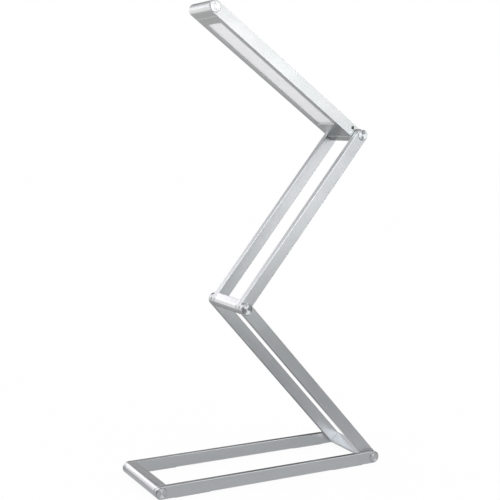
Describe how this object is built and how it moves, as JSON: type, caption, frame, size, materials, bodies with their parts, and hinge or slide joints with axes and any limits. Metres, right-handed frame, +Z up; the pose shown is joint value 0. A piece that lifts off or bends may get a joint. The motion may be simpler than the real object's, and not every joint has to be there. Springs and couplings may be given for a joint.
{
  "type": "folding desk lamp",
  "caption": "LED desk lamp of nested flat-bar frames that fold on three friction hinges from a tall Z to a flat pack, with a slim light head.",
  "frame": {"origin": "centre of the underside of the foot pads, on the desk", "axes": "+Z up, +X from the base's nose to its hinge, +Y from the front bars to the rear bars"},
  "size_m": [0.25, 0.0816, 0.4543],
  "materials": {
    "satin_aluminium": "brushed lengthways and clear anodised, satin",
    "bright_aluminium": "fine brushed and clear anodised",
    "head_aluminium": "fine blasted and clear anodised",
    "turned_aluminium": "face turned, with concentric rings",
    "button_aluminium": "turned, satin",
    "plain_steel": "zinc plated",
    "sintered_bronze": "oiled sintered bronze",
    "white_nylon": "plain",
    "grey_rubber": "matt",
    "opal_acrylic": "opal, satin",
    "white_plastic": "matt white",
    "white_board": "white solder mask",
    "green_board": "green solder mask",
    "led_package": "phosphor resin",
    "cell_foil": "laminate foil",
    "black_plastic": "moulded",
    "lead_insulation": "soft insulation"
  },
  "bodies": {
    "base": {"base_front_bar": "satin_aluminium", "base_rear_bar": "satin_aluminium", "base_cross_bar": "bright_aluminium", "base_nose_screws": "plain_steel", "base_frame_dowels": "plain_steel", "base_nose_caps": "turned_aluminium", "base_foot_pads": "grey_rubber", "base_hinge_bushes": "sintered_bronze", "base_hinge_spring_washers": "plain_steel", "base_hinge_thrust_washers": "white_nylon", "base_hinge_caps": "turned_aluminium"},
    "lower_arm": {"lower_front_bar": "satin_aluminium", "lower_rear_bar": "satin_aluminium", "lower_cross_bar": "bright_aluminium", "lower_frame_dowels": "plain_steel", "base_hinge_pins": "plain_steel", "mid_hinge_bushes": "sintered_bronze", "mid_hinge_spring_washers": "plain_steel", "mid_hinge_thrust_washers": "white_nylon", "mid_hinge_caps": "turned_aluminium"},
    "upper_arm": {"upper_front_bar": "satin_aluminium", "upper_rear_bar": "satin_aluminium", "upper_cross_bar": "bright_aluminium", "upper_frame_dowels": "plain_steel", "mid_hinge_pins": "plain_steel", "top_hinge_bushes": "sintered_bronze", "top_hinge_spring_washers": "plain_steel", "top_hinge_thrust_washers": "white_nylon", "top_hinge_caps": "turned_aluminium"},
    "head": {"head_housing": "head_aluminium", "head_top_cover": "head_aluminium", "head_nose_block": "head_aluminium", "head_hinge_block": "head_aluminium", "head_nose_caps": "turned_aluminium", "head_block_screws": "plain_steel", "top_hinge_pins": "plain_steel", "diffuser": "opal_acrylic", "reflector_frame": "white_plastic", "led_board": "white_board", "led_chips": "led_package", "led_board_screws": "plain_steel", "battery_cells": "cell_foil", "driver_board": "green_board", "driver_board_screws": "plain_steel", "charging_jack": "black_plastic", "tact_switch": "black_plastic", "inner_leads": "lead_insulation"},
    "button": {"power_button": "button_aluminium"}
  },
  "joints": [
    {"name": "base_hinge", "type": "hinge", "parent": "base", "child": "lower_arm", "pos_m": [0.119, 0, 0.0066], "axis": [0, 1, 0], "range_deg": [-47.5, 72.5]},
    {"name": "mid_hinge", "type": "hinge", "parent": "lower_arm", "child": "upper_arm", "pos_m": [-0.03064, 0, 0.16991], "axis": [0, -1, 0], "range_deg": [-99.4, 12]},
    {"name": "top_hinge", "type": "hinge", "parent": "upper_arm", "child": "head", "pos_m": [0.09893, 0, 0.33516], "axis": [0, 1, 0], "range_deg": [-86.9, 17]},
    {"name": "button_press", "type": "slide", "parent": "head", "child": "button", "axis": [-0.5736, 0, -0.8192], "range_m": [0, 0.0005], "stiffness_N_per_m": 2000}
  ]
}
